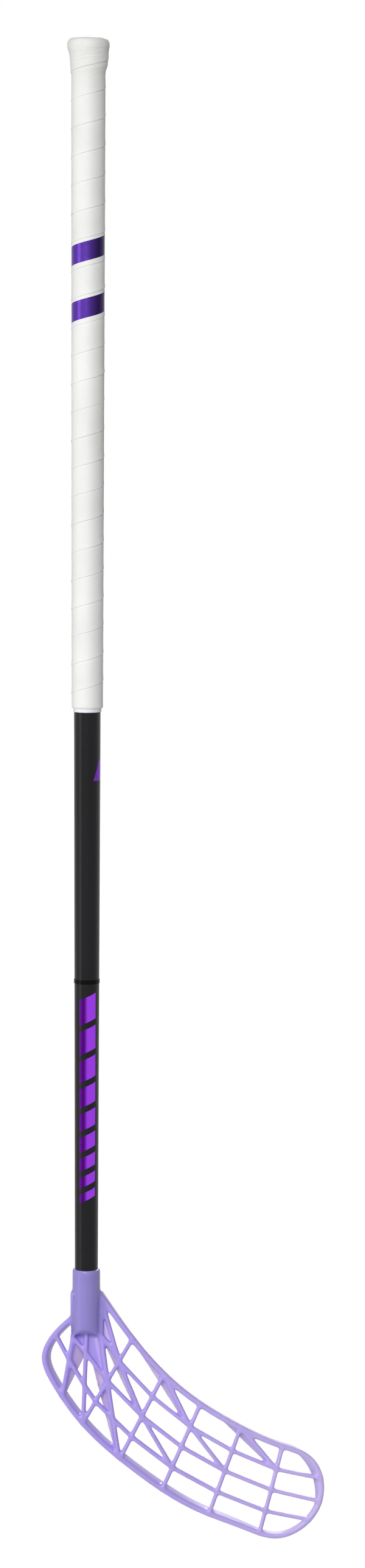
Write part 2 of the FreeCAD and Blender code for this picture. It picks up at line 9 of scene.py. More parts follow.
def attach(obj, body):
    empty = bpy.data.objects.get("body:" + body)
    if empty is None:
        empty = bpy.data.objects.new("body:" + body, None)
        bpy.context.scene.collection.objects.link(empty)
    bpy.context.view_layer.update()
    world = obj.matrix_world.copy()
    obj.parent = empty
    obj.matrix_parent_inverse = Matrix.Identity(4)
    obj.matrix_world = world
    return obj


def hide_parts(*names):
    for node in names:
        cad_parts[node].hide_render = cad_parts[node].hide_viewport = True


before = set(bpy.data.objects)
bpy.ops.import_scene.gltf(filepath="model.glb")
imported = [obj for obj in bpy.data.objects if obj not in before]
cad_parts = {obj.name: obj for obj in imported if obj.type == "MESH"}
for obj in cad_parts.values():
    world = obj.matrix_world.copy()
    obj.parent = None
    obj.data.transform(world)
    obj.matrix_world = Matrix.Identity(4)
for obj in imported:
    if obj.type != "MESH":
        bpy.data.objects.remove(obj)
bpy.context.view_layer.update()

# Sizes in millimetres. Most are those of the part's source, and a few differ slightly.
# The origin is the middle of the butt end and +Z is up.
MM = 0.001
# Points closer than this, in metres, are one point. Then a far distance and two very small numbers
SAME_PLACE = 0.001 * MM
FAR, SMALL, TINY = 1e3, 1e-6, 1e-9
SHAFT_TOP = 4.5
SHAFT_BREAK = 518.5
SHAFT_END = 1004.5
SHAFT_RADII = (11.35, 10.35, 8.95)
MOUTH = -956.5
PITCH = 21.6
FIRST_SEAM = 38.5
GRIP_END = 514.0


def shaft_radius(depth):
    """The tube's outer radius at a depth below the butt."""
    return np.interp(depth, (SHAFT_TOP, SHAFT_BREAK, SHAFT_END), SHAFT_RADII)


# Materials

# The creases in the tape on the knob rise to the right
CREASE_TILT = math.radians(7)
# Shares of a factor between which the roughness changes
GLOSS_SPAN = (0.3, 0.7)


def srgb(red, green, blue):
    """A colour of 8-bit display values as the renderer's linear colour."""
    def linear(value):
        value = value / 255
        return value / 12.92 if value <= 0.04045 else ((value + 0.055) / 1.055) ** 2.4
    return (linear(red), linear(green), linear(blue), 1.0)


class Surface:
    """A procedural material, built up from noise, ramps and bumps in the object's own metres."""

    def __init__(self, name, roughness, **sockets):
        self.material = bpy.data.materials.new(name)
        self.material.use_nodes = True
        self.nodes = self.material.node_tree.nodes
        self.links = self.material.node_tree.links
        self.shader = self.nodes["Principled BSDF"]
        self.shader.inputs["Roughness"].default_value = roughness
        for socket, value in sockets.items():
            self.shader.inputs[socket.replace("_", " ")].default_value = value
        self.place = self.nodes.new("ShaderNodeTexCoord").outputs["Object"]
        self.height = None

    def stretched(self, lengths, tilt=0.0):
        """The object's coordinates, tilted about Y and then stretched by axis."""
        mapping = self.nodes.new("ShaderNodeMapping")
        mapping.vector_type = "TEXTURE"
        mapping.inputs["Rotation"].default_value = (0, -tilt, 0)
        mapping.inputs["Scale"].default_value = lengths
        self.links.new(self.place, mapping.inputs["Vector"])
        return mapping.outputs["Vector"]

    def noise(self, size_mm, detail=3.0, stretch=(1, 1, 1), tilt=0.0):
        """Soft noise with features of about a size."""
        texture = self.nodes.new("ShaderNodeTexNoise")
        texture.inputs["Scale"].default_value = 1 / (size_mm * MM)
        texture.inputs["Detail"].default_value = detail
        self.links.new(self.stretched(stretch, tilt), texture.inputs["Vector"])
        return texture.outputs["Fac"]

    def cells(self, size_mm):
        """Distance to the middle of rounded cells of about a size, as in a leather grain."""
        texture = self.nodes.new("ShaderNodeTexVoronoi")
        texture.feature = "SMOOTH_F1"
        texture.inputs["Scale"].default_value = 1 / (size_mm * MM)
        self.links.new(self.place, texture.inputs["Vector"])
        return texture.outputs["Distance"]

    def rings(self, pitch_mm):
        """Fine ridges round the Z axis with a slight waver."""
        texture = self.nodes.new("ShaderNodeTexWave")
        texture.bands_direction = "Z"
        texture.inputs["Scale"].default_value = math.pi / (10 * pitch_mm * MM)
        texture.inputs["Distortion"].default_value = 2.0
        texture.inputs["Detail"].default_value = 2.0
        texture.inputs["Detail Scale"].default_value = 0.6
        self.links.new(self.place, texture.inputs["Vector"])
        return texture.outputs["Fac"]

    def ramp(self, factor, *stops):
        """Colours or greys along a factor, from (position, colour) stops."""
        ramp = self.nodes.new("ShaderNodeValToRGB")
        elements = ramp.color_ramp.elements
        while len(elements) < len(stops):
            elements.new(1.0)
        for element, (position, colour) in zip(elements, stops):
            element.position = position
            element.color = colour if isinstance(colour, tuple) else (colour, colour, colour, 1.0)
        self.links.new(factor, ramp.inputs["Fac"])
        return ramp.outputs["Color"]

    def colour(self, factor, *stops):
        """Colours the surface along a factor."""
        self.links.new(self.ramp(factor, *stops), self.shader.inputs["Base Color"])
        return self

    def fade_to(self, factor, colour):
        """Fades the surface's colour to another one along a factor."""
        base = self.shader.inputs["Base Color"]
        blend = self.nodes.new("ShaderNodeMix")
        blend.data_type = "RGBA"
        self.links.new(factor, blend.inputs["Factor"])
        self.links.new(base.links[0].from_socket, blend.inputs["A"])
        blend.inputs["B"].default_value = colour
        self.links.new(blend.outputs["Result"], base)
        return self

    def slope(self, axis, low_mm, high_mm):
        """A share that rises along one of the object's axes."""
        split = self.nodes.new("ShaderNodeSeparateXYZ")
        self.links.new(self.place, split.inputs["Vector"])
        rise = self.nodes.new("ShaderNodeMapRange")
        rise.inputs["From Min"].default_value = low_mm * MM
        rise.inputs["From Max"].default_value = high_mm * MM
        self.links.new(split.outputs[axis], rise.inputs["Value"])
        return rise.outputs["Result"]

    def share_of(self, factor, mask):
        """A factor, kept only where a mask is 1."""
        product = self.nodes.new("ShaderNodeMath")
        product.operation = "MULTIPLY"
        self.links.new(factor, product.inputs[0])
        self.links.new(mask, product.inputs[1])
        return product.outputs["Value"]

    def attribute(self, name):
        """A value that the mesh carries on its points."""
        reader = self.nodes.new("ShaderNodeAttribute")
        reader.attribute_name = name
        return reader.outputs["Fac"]

    def gloss(self, factor, low, high):
        """Varies the roughness along a factor."""
        stops = zip(GLOSS_SPAN, (low, high))
        self.links.new(self.ramp(factor, *stops), self.shader.inputs["Roughness"])
        return self

    def bump(self, factor, depth_mm):
        """Adds a bump of a real depth."""
        bump = self.nodes.new("ShaderNodeBump")
        bump.inputs["Distance"].default_value = depth_mm * MM
        bump.inputs["Strength"].default_value = 1.0
        self.links.new(factor, bump.inputs["Height"])
        if self.height is not None:
            self.links.new(self.height, bump.inputs["Normal"])
        self.height = bump.outputs["Normal"]
        self.links.new(self.height, self.shader.inputs["Normal"])
        return self


def lilac_plastic():
    """Satin moulded plastic, a little see-through, with faint flow marks, and painted light and shade."""
    surface = Surface("lilac_plastic", 0.34, Subsurface_Weight=0.5, Subsurface_Scale=4 * MM, IOR=1.48)
    surface.shader.inputs["Subsurface Radius"].default_value = (1.0, 0.8, 1.0)
    # Painted light and shade: darker over the shaft, as if no light came through the socket, and paler
    # towards the back, on walls thinner than the ribs, as if light came through them
    surface.colour(
        surface.attribute("painted_backlight"),
        (0.0, srgb(147, 136, 206)), (0.5, srgb(173, 155, 231)), (1.0, srgb(220, 203, 230)),
    )
    # Paler towards the toe, as the photo shows
    toe = surface.ramp(surface.slope("X", 10, 180), (0.0, 0.0), (1.0, 0.8))
    surface.fade_to(toe, srgb(214, 199, 252))
    flow = surface.ramp(surface.noise(26, 2.0), (0.35, 0.0), (0.75, 0.2))
    surface.fade_to(flow, srgb(160, 140, 222))
    surface.gloss(surface.noise(9, 3.0), 0.3, 0.4)
    return surface.bump(surface.noise(0.9, 2.0), 0.012).material


def grip_leather():
    """Soft white tape with a fine leathery grain."""
    surface = Surface("grip_tape_white", 0.55, Sheen_Weight=0.15, Specular_IOR_Level=0.35)
    surface.colour(surface.noise(30, 3.0), (0.3, srgb(233, 233, 231)), (0.7, srgb(241, 241, 239)))
    # Greyer on the knob
    knob = surface.slope("Z", -55, -15)
    surface.fade_to(surface.ramp(knob, (0.0, 0.0), (1.0, 0.35)), srgb(221, 219, 216))
    surface.gloss(surface.noise(4, 2.0), 0.5, 0.62)
    creases = surface.noise(1.5, 2.0, (10, 10, 1), CREASE_TILT)
    surface.bump(surface.share_of(creases, surface.slope("Z", -40, -26)), 0.55)
    surface.bump(surface.noise(5, 2.0), 0.08)
    surface.bump(surface.cells(0.9), 0.07)
    return surface.bump(surface.noise(0.35, 2.0), 0.02).material


def purple_foil(name, left, right, span_mm):
    """Metallic print foil, its purple painted lighter or darker across the stick as a painted reflection
    of the lamps.
    """
    surface = Surface(name, 0.3, Metallic=1.0)
    # Painted reflection: the colour changes from one side of the stick to the other
    surface.colour(surface.slope("X", *span_mm), (0.0, left), (1.0, right))
    surface.gloss(surface.noise(3, 3.0), 0.26, 0.36)
    return surface.bump(surface.noise(1.1, 2.0), 0.03).material


def shaft_composite():
    """Matt charcoal resin with fine winding ridges."""
    surface = Surface("shaft_composite", 0.3, Specular_IOR_Level=0.2)
    surface.colour(surface.noise(40, 3.0, (1, 1, 3)), (0.3, srgb(10, 10, 13)), (0.7, srgb(17, 17, 21)))
    surface.gloss(surface.noise(6, 3.0), 0.27, 0.34)
    surface.bump(surface.rings(1.1), 0.03)
    return surface.bump(surface.noise(0.5, 2.0), 0.015).material


def plain_tape():
    """Thin bluish-white adhesive tape."""
    surface = Surface("finishing_tape", 0.5)
    surface.colour(surface.noise(6, 2.0), (0.3, srgb(228, 231, 237)), (0.7, srgb(238, 240, 244)))
    return surface.bump(surface.noise(1.5, 3.0), 0.04).material


def cap_plastic():
    """Pale moulded plastic with a fine eroded texture."""
    surface = Surface("cap_plastic", 0.5)
    surface.colour(surface.noise(12, 2.0), (0.3, srgb(203, 210, 222)), (0.7, srgb(214, 220, 230)))
    return surface.bump(surface.noise(0.6, 3.0), 0.03).material


def ring_film():
    """Gloss black film."""
    surface = Surface("ring_film", 0.25, Specular_IOR_Level=0.07)
    surface.colour(surface.noise(3, 2.0), (0.3, srgb(3, 3, 4)), (0.7, srgb(7, 7, 9)))
    return surface.bump(surface.noise(0.8, 2.0), 0.01).material


def plated_steel():
    """Zinc-plated steel with fine turning marks."""
    surface = Surface("plated_steel", 0.3, Metallic=1.0)
    surface.colour(surface.noise(2, 3.0), (0.3, srgb(168, 170, 174)), (0.7, srgb(196, 198, 202)))
    surface.gloss(surface.noise(1.2, 3.0), 0.24, 0.4)
    return surface.bump(surface.noise(0.3, 2.0), 0.01).material


def paint_node(node, material):
    """Gives a CAD node its material."""
    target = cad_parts[node]
    target.data.materials.clear()
    target.data.materials.append(material)


def new_piece(name, points_mm, faces, *materials):
    """A smooth-shaded mesh from points in millimetres that rides on the stick."""
    mesh = bpy.data.meshes.new(name)
    mesh.from_pydata((np.asarray(points_mm) * MM).tolist(), [], faces)
    for material in materials:
        mesh.materials.append(material)
    mesh.shade_smooth()
    piece = bpy.data.objects.new(name, mesh)
    bpy.context.scene.collection.objects.link(piece)
    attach(piece, "root")
    return piece


def merge_points(mesh):
    """Joins points that fall together, and drops what this leaves empty."""
    shape = bmesh.new()
    shape.from_mesh(mesh)
    bmesh.ops.remove_doubles(shape, verts=shape.verts, dist=SAME_PLACE)
    bmesh.ops.dissolve_degenerate(shape, edges=shape.edges, dist=SAME_PLACE)
    loose = [point for point in shape.verts if not point.link_faces]
    bmesh.ops.delete(shape, geom=loose, context="VERTS")
    shape.to_mesh(mesh)
    shape.free()


# Blade: a rounded lattice, first worked out flat and then bent, with its straight socket

BLADE_REACH = 187.9
BLADE_DROP = 219.6
BLADE_SLOPE = math.radians(24.5)
BEND_RADIUS = 500.0
BEND_MIDDLE = 75.0
BEND_LEVEL = 70.0
BEND_FRONT = 10.6
RIM_WIDTH, RIM_DEPTH = 4.5, 12.0
RIB_WIDTH, RIB_DEPTH, RIB_RECESS = 3.2, 5.0, 0.3
WEB_WIDTH, WEB_DEPTH = 2.0, 11.2
SOCKET_RADIUS = 10.88
SOCKET_SWELL = 0.35
SOCKET_LENGTH = 76.0
SOCKET_DEPTH = 48.0
BORE_RADII = (8.0, 7.8)
SCOOP_START = 48.5
ARCH_TOP = 47.2
ARCH_SLOPE = math.radians(45)
SCOOP_WALL, SCOOP_RISE = 1.8, 0.3
STEM_TOP, STEM_WIDTH, STEM_FRONT = 19.5, 3.0, -8.5
PANEL_THICKNESS = 1.8
SCREW_DROP = 24.0
SCREW_ROOM = 1.85
BOSS_RADIUS, BOSS_SEAT = 5.0, 12.5
# Rounding of edges and fillets between forms
RIM_ROUNDING, STEM_ROUNDING, RIB_ROUNDING = 1.5, 1.2, 0.7
SOCKET_ROUNDING, ARCH_ROUNDING, BOSS_ROUNDING = 1.2, 0.6, 0.5
RIB_FILLET, PANEL_FILLET, WEB_FILLET, BOSS_FILLET = 0.6, 0.4, 1.0, 1.0
STEM_FILLET, LATTICE_FILLET = 1.6, 1.5
# Left of the socket, where the stem stays a ridge of its own, and elsewhere
LEFT_FILLET, SOCKET_FILLET = 0.2, 0.8
RIM_SHARES = (
    (-0.0655, 0.171), (-0.145, 0.240), (-0.190, 0.327), (-0.148, 0.424),
    (-0.016, 0.575), (0.200, 0.737), (0.444, 0.876), (0.673, 0.963),
    (0.809, 1.0), (0.935, 0.957), (1.010, 0.824), (0.963, 0.701),
    (0.821, 0.637), (0.653, 0.566), (0.419, 0.434), (0.225, 0.266), (0.062, 0.082),
)
RIB_SHARES = (0.264, 0.501, 0.746)
TOE_SHARES = (0.356, 0.51, 0.648)
RIB_FIRST_TOP, RIB_PITCH_TOP = 44.3, 37.3
RIB_FIRST_LOW, RIB_PITCH_LOW, RIB_PITCH_GAIN = 105.2, 40.4, 0.5
BRACE_STEP = 1.5
HEEL_BRACE_LEAD, HEEL_RIB_LEAD = 27.0, 20.4
EDGE_STEPS = 14
# The gusset's foot: out from the socket in rib widths, and up from the scoop in rib depths
GUSSET_OUT, GUSSET_RISE = 0.9, 3.5
# How far the panel below the socket stops short of its rib's end, as a share of the rib
SCOOP_PANEL_END = 0.2
# Crossings at the heel: name, the two points that they lie between, and the share of the way
HEEL_CROSSINGS = (
    ("H1", "left_foot", "brace_low_1", 0.385),
    ("H2", "middle_foot", "A4", 0.6),
    ("H3", "middle_foot", "A4", 0.25),
    ("K", "gusset_foot", "A1", 0.82),
)
CHAINS = [tuple(f"{name}{index}" for index in range(5)) for name in "ABCDE"] + [
    ("right_foot", "K", "A1", "B1", "C1", "D1", "E1", "T1"),
    ("left_foot", "H3", "A2", "B2", "C2", "D2", "E2", "T2"),
    ("heel", "H1", "H2", "A3", "B3", "C3", "D3", "E3", "T3"),
    ("left_foot", "H1", "brace_low_1"),
    ("middle_foot", "H3", "H2", "A4"),
    ("stem_right", "right_foot", "A2", "brace_low_3"),
    ("gusset_foot", "K", "A1", "B2", "C3"),
    ("brace_top_6", "C1", "D2"),
    ("brace_top_8", "E1"),
]
WEBS = (
    ("left_foot", "brace_low_1", (7.7, -14.5), (1.8, 2.6), WEB_DEPTH, RIB_DEPTH),
    ("right_foot", "A2", (-12.4, -8.3), (-8.4, -5.4), WEB_DEPTH, WEB_DEPTH),
    ("A2", "brace_low_3", (-8.4, -5.4), (-2.0, 0.7), WEB_DEPTH, RIB_DEPTH),
    ("right_foot", "A1", (2.2, -7.1), (-4.3, -3.5), WEB_DEPTH, WEB_DEPTH),
    ("A1", "B2", (-4.3, -3.5), (-2.5, 1.0), WEB_DEPTH, RIB_DEPTH),
    ("brace_top_6", "C1", (-21.8, 22.3), (-2.5, 1.0), WEB_DEPTH, RIB_DEPTH),
    ("brace_top_8", "E1", (-14.7, 6.2), (-3.0, 1.0), WEB_DEPTH, RIB_DEPTH),
)
# The grid that the moulding is worked out on, as along, across and depth, and a web's room on it
CELL = 0.9
GRID_LOW, GRID_HIGH = np.array((-46.0, -82.0, -15.0)), np.array((226.0, 74.0, 18.0))
WEB_MARGIN = 6.0
PATCH_ROUNDS = 6
# The walls' draft: they lean towards the blade's middle line, which is given as along, across
MIDDLE_LINE = ((0, -5), (60, -25), (100, -34), (140, -38), (220, -38))
HALF_HEIGHT = 36.0
TOP_LEAN, HEEL_LEAN, TOE_LEAN = 0.14, 0.32, 0.8
HEEL_LEAN_SPAN, TOE_LEAN_SPAN = (-30, 40), (160, 200)
# The lower rim's lean towards the middle line, as places along the blade and lean there
LOW_LEAN = ((100, 0.16), (150, 0.06), (200, -0.14))
# Where the painted backlight makes the plastic paler: distance from the socket's skin, over a thinner and
# over the thick wall of the gusset, and depths behind the front face for the rim's walls, the webs and the
# pocket beside the socket
SKIN, SKIN_FADE, GUSSET_FADE = 0.5, 2.0, 9.0
SHAFT_TIP_FADE = (SOCKET_DEPTH + 2, SOCKET_DEPTH + 8)
WALL_FADE, WEB_FADE, POCKET_FADE = (4.0, 8.0), (2.2, 4.6), (2.5, 3.3)
WALL_CLEAR, WALL_LEAST, WEB_REACH, POCKET_MOST = 3.0, 0.2, 1.8, 0.8
TOE_SPAN, TOE_PALENESS = (150, 190), (0.5, 1.0)


def natural_spline(knots, steps):
    """Points of a smooth curve through knots, close together."""
    knots = np.asarray(knots, float)
    spans = np.linalg.norm(np.diff(knots, axis=0), axis=1)
    count = len(knots)
    matrix = np.eye(count)
    right = np.zeros_like(knots)
    for i in range(1, count - 1):
        matrix[i, i - 1:i + 2] = spans[i - 1], 2 * (spans[i - 1] + spans[i]), spans[i]
        right[i] = 6 * ((knots[i + 1] - knots[i]) / spans[i] - (knots[i] - knots[i - 1]) / spans[i - 1])
    bends = np.linalg.solve(matrix, right)
    points = []
    for i, span in enumerate(spans):
        for u in np.linspace(0, span, steps, endpoint=False)[:, None]:
            v = span - u
            curve = (bends[i] * v ** 3 + bends[i + 1] * u ** 3) / (6 * span)
            before = (knots[i] / span - bends[i] * span / 6) * v
            after = (knots[i + 1] / span - bends[i + 1] * span / 6) * u
            points.append(curve + before + after)
    return np.vstack(points + [knots[-1]])


class BladePlan:
    """Plan points of the blade: x from the shaft's axis and height above the socket's mouth."""

    def __init__(self):
        corners = [(x * BLADE_REACH, -drop * BLADE_DROP) for x, drop in RIM_SHARES]
        self.edge = natural_spline(corners, EDGE_STEPS)
        runs = np.linalg.norm(np.diff(self.edge, axis=0), axis=1)
        self.lengths = np.concatenate(([0.0], np.cumsum(runs)))
        self.middle = self.rim_middle()
        self.nodes = self.rib_nodes()

    def rim_middle(self):
        """The middle line of the rim."""
        tangents = np.gradient(self.edge, axis=0)
        tangents /= np.linalg.norm(tangents, axis=1)[:, None]
        inward = np.stack((-tangents[:, 1], tangents[:, 0]), axis=1)
        return self.edge + inward * RIM_WIDTH / 2

    def on_rim(self, length):
        """The point of the rim's middle line at a length along the outer edge."""
        return np.array([np.interp(length, self.lengths, self.middle[:, axis]) for axis in (0, 1)])

    def rib_nodes(self):
        """Named points where ribs meet."""
        tops = [self.lengths[-1] - RIB_FIRST_TOP - k * RIB_PITCH_TOP for k in range(5)]
        lows = [RIB_FIRST_LOW + k * (RIB_PITCH_LOW + k * RIB_PITCH_GAIN) for k in range(5)]
        nodes = {}
        for name, top_length, low_length in zip("ABCDE", tops, lows):
            top = self.on_rim(top_length)
            low = self.on_rim(low_length)
            for index, share in enumerate((0,) + RIB_SHARES + (1,)):
                nodes[f"{name}{index}"] = mix(top, low, share)
        for index, share in enumerate(TOE_SHARES, start=1):
            nodes[f"T{index}"] = self.on_rim(tops[4] + (lows[4] - tops[4]) * share)
        nodes["brace_top_6"] = self.on_rim(tops[1] - BRACE_STEP)
        nodes["brace_top_8"] = self.on_rim(tops[3] - BRACE_STEP)
        nodes["brace_low_1"] = self.on_rim(lows[0] - HEEL_BRACE_LEAD)
        nodes["brace_low_3"] = self.on_rim(lows[1] - BRACE_STEP)
        nodes["stem_left"] = np.array((-SOCKET_RADIUS, -STEM_TOP))
        nodes["stem_right"] = np.array((SOCKET_RADIUS + RIB_WIDTH / 3, -STEM_TOP - RIB_DEPTH))
        nodes["left_foot"] = np.array((-SOCKET_RADIUS, -SCOOP_START - 2 * RIB_WIDTH))
        nodes["middle_foot"] = np.array((0.0, -SCOOP_START))
        nodes["right_foot"] = np.array((SOCKET_RADIUS + RIB_WIDTH / 3, -SCOOP_START - RIB_DEPTH))
        gusset_level = -SCOOP_START + GUSSET_RISE * RIB_DEPTH
        nodes["gusset_foot"] = np.array((SOCKET_RADIUS + RIB_WIDTH * GUSSET_OUT, gusset_level))
        nodes["heel"] = self.on_rim(HEEL_RIB_LEAD)
        for name, start, end, share in HEEL_CROSSINGS:
            nodes[name] = mix(nodes[start], nodes[end], share)
        return nodes


def mix(start, end, share):
    """The point at a share of the way between two points."""
    return start + (end - start) * share


def flatten(places):
    """Plan points as distances along the blade and across it."""
    x = places[..., 0]
    level = places[..., 1] + BEND_LEVEL
    along = x * math.cos(BLADE_SLOPE) - level * math.sin(BLADE_SLOPE)
    return np.stack((along, x * math.sin(BLADE_SLOPE) + level * math.cos(BLADE_SLOPE)), axis=-1)


def lean(along, across):
    """How far the walls lean along and across the blade, per millimetre behind the front face."""
    middle = np.interp(along, *zip(*MIDDLE_LINE))
    share = np.clip((across - middle) / HALF_HEIGHT, -1, 1)
    heel = HEEL_LEAN * np.interp(along, HEEL_LEAN_SPAN, (1, 0))
    toe = TOE_LEAN * np.interp(along, TOE_LEAN_SPAN, (0, 1)) * np.clip(share, 0, 1)
    low = np.interp(along, *zip(*LOW_LEAN))
    return heel - toe, low + (share + 1) / 2 * (-TOP_LEAN - low)


def bend(along, across, depth):
    """Points of the flat blade, with a depth behind its front face, at their places on the stick."""
    lean_along, lean_across = lean(along, across)
    walls = np.clip(depth, 0, RIM_DEPTH)
    along = along + walls * lean_along
    across = across + walls * lean_across
    y = depth + BEND_RADIUS - BEND_FRONT - np.sqrt(BEND_RADIUS ** 2 - (along - BEND_MIDDLE) ** 2)
    x = along * math.cos(BLADE_SLOPE) + across * math.sin(BLADE_SLOPE)
    z = -along * math.sin(BLADE_SLOPE) + across * math.cos(BLADE_SLOPE) + MOUTH - BEND_LEVEL
    return x, y, z


def segment_distance(along, across, start, end):
    """Distance in the unrolled plan from a grid of points to a straight segment."""
    way = end - start
    share = ((along - start[0]) * way[0] + (across - start[1]) * way[1]) / max(way @ way, TINY)
    share = np.clip(share, 0, 1)
    return np.hypot(along - start[0] - share * way[0], across - start[1] - share * way[1])


def rounded_both(first, second, radius):
    """The overlap of two distance fields, with its edges rounded."""
    outside = np.hypot(np.maximum(first + radius, 0), np.maximum(second + radius, 0))
    return outside - radius + np.minimum(np.maximum(first, second) + radius, 0)


def blended(first, second, radius):
    """The union of two distance fields, with a fillet."""
    share = np.clip(0.5 + 0.5 * (second - first) / radius, 0, 1)
    return second + (first - second) * share - radius * share * (1 - share)


def slab(depth, front, back):
    """Distance to the layer between two depths."""
    return np.abs(depth - (front + back) / 2) - (back - front) / 2


def polygon_distance(along, across, corners):
    """Distance to a convex polygon of the unrolled plan, good near its sides."""
    middle = np.mean(corners, axis=0)
    result = np.full_like(along, -FAR)
    for start, end in zip(corners, np.roll(corners, -1, axis=0)):
        way = (end - start) / np.linalg.norm(end - start)
        normal = np.array((way[1], -way[0]))
        if (middle - start) @ normal > 0:
            normal = -normal
        result = np.maximum(result, (along - start[0]) * normal[0] + (across - start[1]) * normal[1])
    return result


def web_field(grid, plan, web, field):
    """Adds to a field a twisted web from a brace on the front to a back edge that lies aside of it."""
    corners = web_corners(plan, web)
    near = tuple(
        slice(*np.searchsorted(axis, (side.min() - WEB_MARGIN, side.max() + WEB_MARGIN)))
        for axis, side in zip(grid, corners.T)
    )
    near_axes = [axis[part] for axis, part in zip(grid, near)]
    places = np.stack(np.meshgrid(*near_axes, indexing="ij"), axis=-1)
    distance = patch_distance(places, corners) - WEB_WIDTH / 2
    field[near] = blended(field[near], distance, WEB_FILLET)


def web_corners(plan, web):
    """A web's front start and end and back start and end: along, across and depth."""
    start_name, end_name, start_shift, end_shift, start_depth, end_depth = web
    start = plan.nodes[start_name]
    end = plan.nodes[end_name]
    plan_corners = flatten(np.array((start, end, start + start_shift, end + end_shift)))
    return np.column_stack((plan_corners, (RIB_WIDTH / 2, RIB_WIDTH / 2, start_depth, end_depth)))


def patch_distance(places, corners):
    """Distance from points to a ruled patch between a front edge and a back edge."""
    run = np.full(places.shape[:-1], 0.5)
    deep = run
    for _ in range(PATCH_ROUNDS):
        offset, along_run, along_deep = patch_terms(places, corners, run, deep)
        run_square = (along_run ** 2).sum(-1)
        deep_square = (along_deep ** 2).sum(-1)
        mixed = (along_run * along_deep).sum(-1)
        run_left = (offset * along_run).sum(-1)
        deep_left = (offset * along_deep).sum(-1)
        spread = np.maximum(run_square * deep_square - mixed * mixed, SMALL)
        run = np.clip(run + (deep_square * run_left - mixed * deep_left) / spread, 0, 1)
        deep = np.clip(deep + (run_square * deep_left - mixed * run_left) / spread, 0, 1)
    offset, _, along_deep = patch_terms(places, corners, run, deep)
    deep = np.clip(deep + (offset * along_deep).sum(-1) / (along_deep ** 2).sum(-1), 0, 1)
    offset, along_run, _ = patch_terms(places, corners, run, deep)
    run_square = np.maximum((along_run ** 2).sum(-1), SMALL)
    run = np.clip(run + (offset * along_run).sum(-1) / run_square, 0, 1)
    return np.linalg.norm(patch_terms(places, corners, run, deep)[0], axis=-1)


def patch_terms(places, corners, run, deep):
    """What is left from a place of the patch to each point, and the patch's two directions there."""
    front_start, front_end, back_start, back_end = corners
    run = run[..., None]
    deep = deep[..., None]
    front = front_start + (front_end - front_start) * run
    back = back_start + (back_end - back_start) * run
    along_run = (front_end - front_start) * (1 - deep) + (back_end - back_start) * deep
    return places - front - (back - front) * deep, along_run, back - front


def socket_field(x, y, z):
    """The straight socket tube with its scooped end, and the pad for the screw."""
    drop = MOUTH - z
    around = np.hypot(x, y)
    outer = SOCKET_RADIUS + SOCKET_SWELL * np.clip(drop / SOCKET_LENGTH, 0, 1)
    length = np.abs(drop - SOCKET_LENGTH / 2) - SOCKET_LENGTH / 2
    tube = rounded_both(around - outer, length, SOCKET_ROUNDING)
    scoop = (drop - ARCH_TOP - (y + SOCKET_RADIUS) * math.tan(ARCH_SLOPE)) * math.cos(ARCH_SLOPE)
    tube = rounded_both(tube, scoop, ARCH_ROUNDING)
    # The tube's back wall goes on below the scoop as an open half pipe
    ceiling = SOCKET_DEPTH + SCOOP_WALL + (y + SOCKET_RADIUS) * SCOOP_RISE
    hollow = np.maximum(around - SOCKET_RADIUS + SCOOP_WALL, ceiling - drop)
    tube = rounded_both(tube, -hollow, ARCH_ROUNDING)
    across = np.hypot(x, drop - SCREW_DROP)
    boss = rounded_both(across - BOSS_RADIUS, np.maximum(y - BOSS_SEAT, -y), BOSS_ROUNDING)
    return blended(tube, boss, BOSS_FILLET)


def bore_field(x, y, z):
    """The room for the shaft's end and for the screw."""
    drop = MOUTH - z
    radius = BORE_RADII[0] + (BORE_RADII[1] - BORE_RADII[0]) * np.clip(drop / SOCKET_DEPTH, 0, 1)
    shaft_room = np.maximum(np.hypot(x, y) - radius, drop - SOCKET_DEPTH)
    screw_room = np.maximum(np.hypot(x, drop - SCREW_DROP) - SCREW_ROOM, -y)
    return np.minimum(shaft_room, screw_room)


def surface_net(field, low, cell):
    """A closed quad mesh round the negative part of a field on a regular grid."""
    inside = field < 0
    corners = [np.array((i & 1, (i >> 1) & 1, (i >> 2) & 1)) for i in range(8)]
    cells = tuple(n - 1 for n in field.shape)

    def corner_view(values, corner):
        return values[tuple(slice(c, c + n) for c, n in zip(corner, cells))]

    count = sum(corner_view(inside, corner).astype(np.int8) for corner in corners)
    mixed = np.argwhere((count > 0) & (count < 8))
    index = np.full(cells, -1, np.int64)
    index[tuple(mixed.T)] = np.arange(len(mixed))
    total = np.zeros((len(mixed), 3))
    crossings = np.zeros(len(mixed))
    for i in range(8):
        for axis in range(3):
            if corners[i][axis]:
                continue
            near = corners[i]
            far = near + np.eye(3, dtype=int)[axis]
            first = field[tuple((mixed + near).T)]
            second = field[tuple((mixed + far).T)]
            change = (first < 0) != (second < 0)
            share = np.where(change, first / np.where(change, first - second, 1), 0)
            total += np.where(change[:, None], near + share[:, None] * (far - near), 0)
            crossings += change
    points = low + cell * (mixed + total / crossings[:, None])
    quads = []
    for axis in range(3):
        steps = np.eye(3, dtype=int)
        second = steps[(axis + 1) % 3]
        third = steps[(axis + 2) % 3]
        ahead = tuple(slice(1, None) if k == axis else slice(None) for k in range(3))
        here = tuple(slice(None, -1) if k == axis else slice(None) for k in range(3))
        places = np.argwhere(inside[here] != inside[ahead])
        keep = np.all((places - second - third >= 0) & (places < np.array(cells)), axis=1)
        places = places[keep]
        ring = [places, places - second, places - second - third, places - third]
        quad = np.stack([index[tuple(p.T)] for p in ring], axis=1)
        outward = inside[tuple(places.T)]
        quads.append(np.where(outward[:, None], quad, quad[:, ::-1]))
    return points, np.vstack(quads)


def softened(field):
    """A field on a grid, averaged lightly with its neighbours along each axis."""
    for axis in range(3):
        field = (np.roll(field, -1, axis) + 2 * field + np.roll(field, 1, axis)) / 4
    return field


